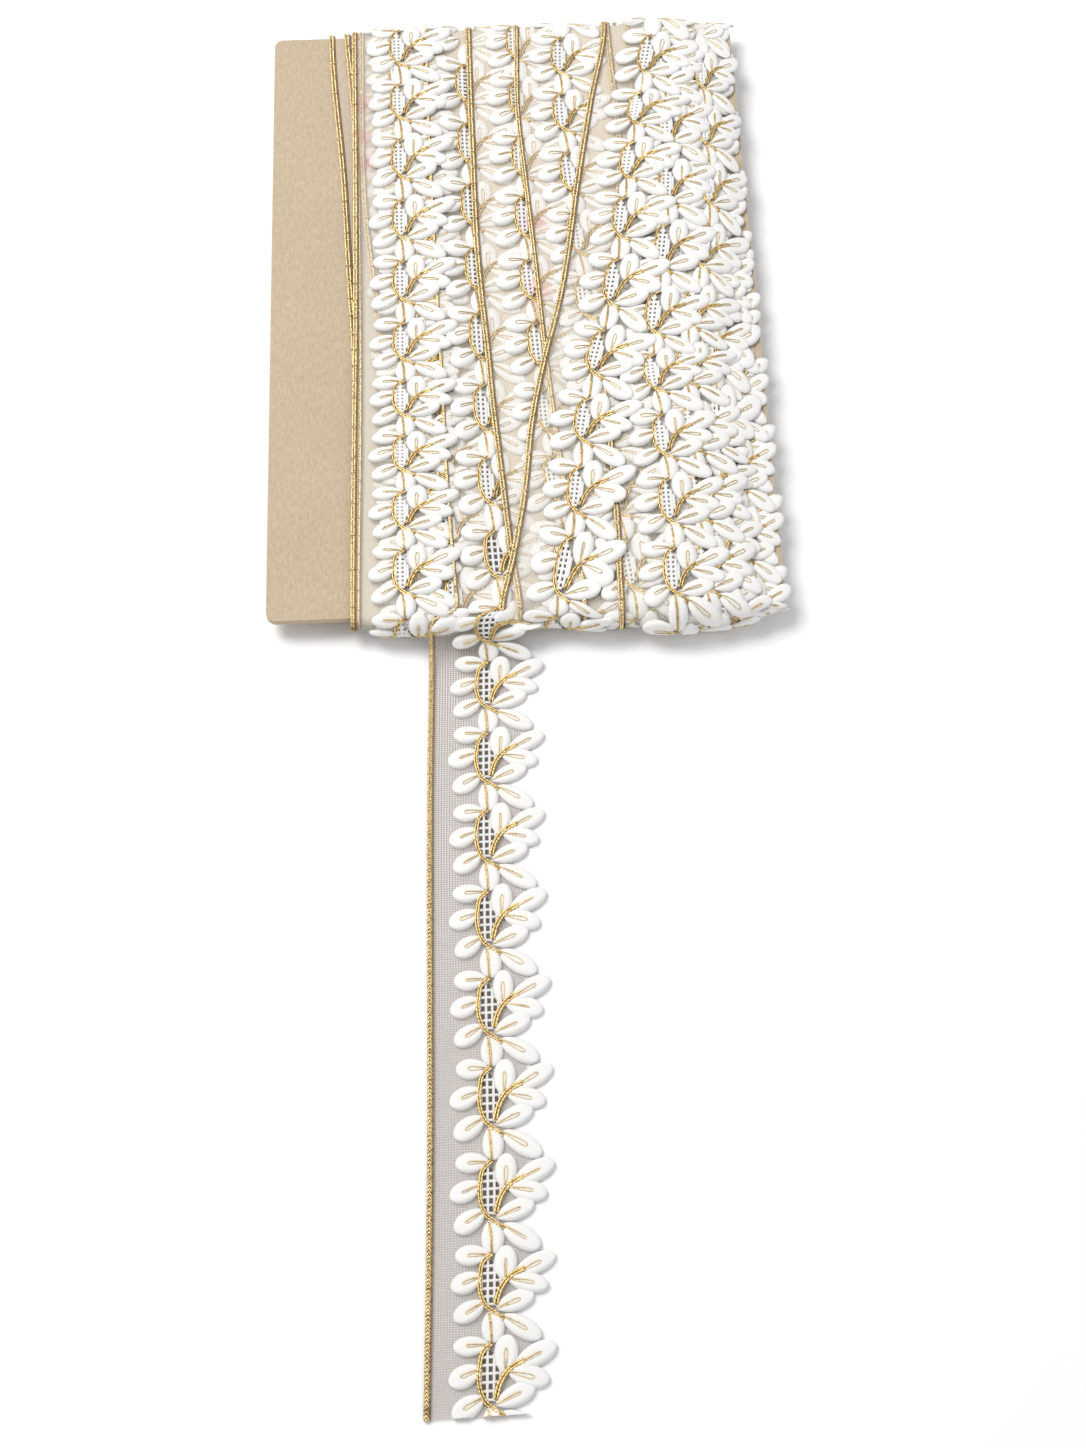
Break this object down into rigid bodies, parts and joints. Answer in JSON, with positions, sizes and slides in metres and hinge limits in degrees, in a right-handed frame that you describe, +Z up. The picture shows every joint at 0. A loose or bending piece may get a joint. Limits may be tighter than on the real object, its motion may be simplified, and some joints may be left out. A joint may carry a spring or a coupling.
{
  "type": "embroidered lace trim wound on a kraft card",
  "caption": "Embroidered lace trim with padded white leaves and a gold cord edge, wound on a flat kraft card with one loose end.",
  "frame": {"origin": "middle of the whole footprint, on the surface that the wound trim and its loose end lie on", "axes": "+X across the trim to its leaf edge, +Y along the card away from the loose end, +Z up from the surface"},
  "size_m": [0.2116, 0.61, 0.0205],
  "materials": {
    "kraft_card": "matt, speckled",
    "white_thread": "matt padded satin stitch on sheer ground",
    "gold_thread": "metallic twisted thread"
  },
  "bodies": {
    "root": {"card": "kraft_card", "wound_trim": "white_thread", "loose_end": "white_thread", "loose_gold_edge": "gold_thread"}
  },
  "joints": []
}
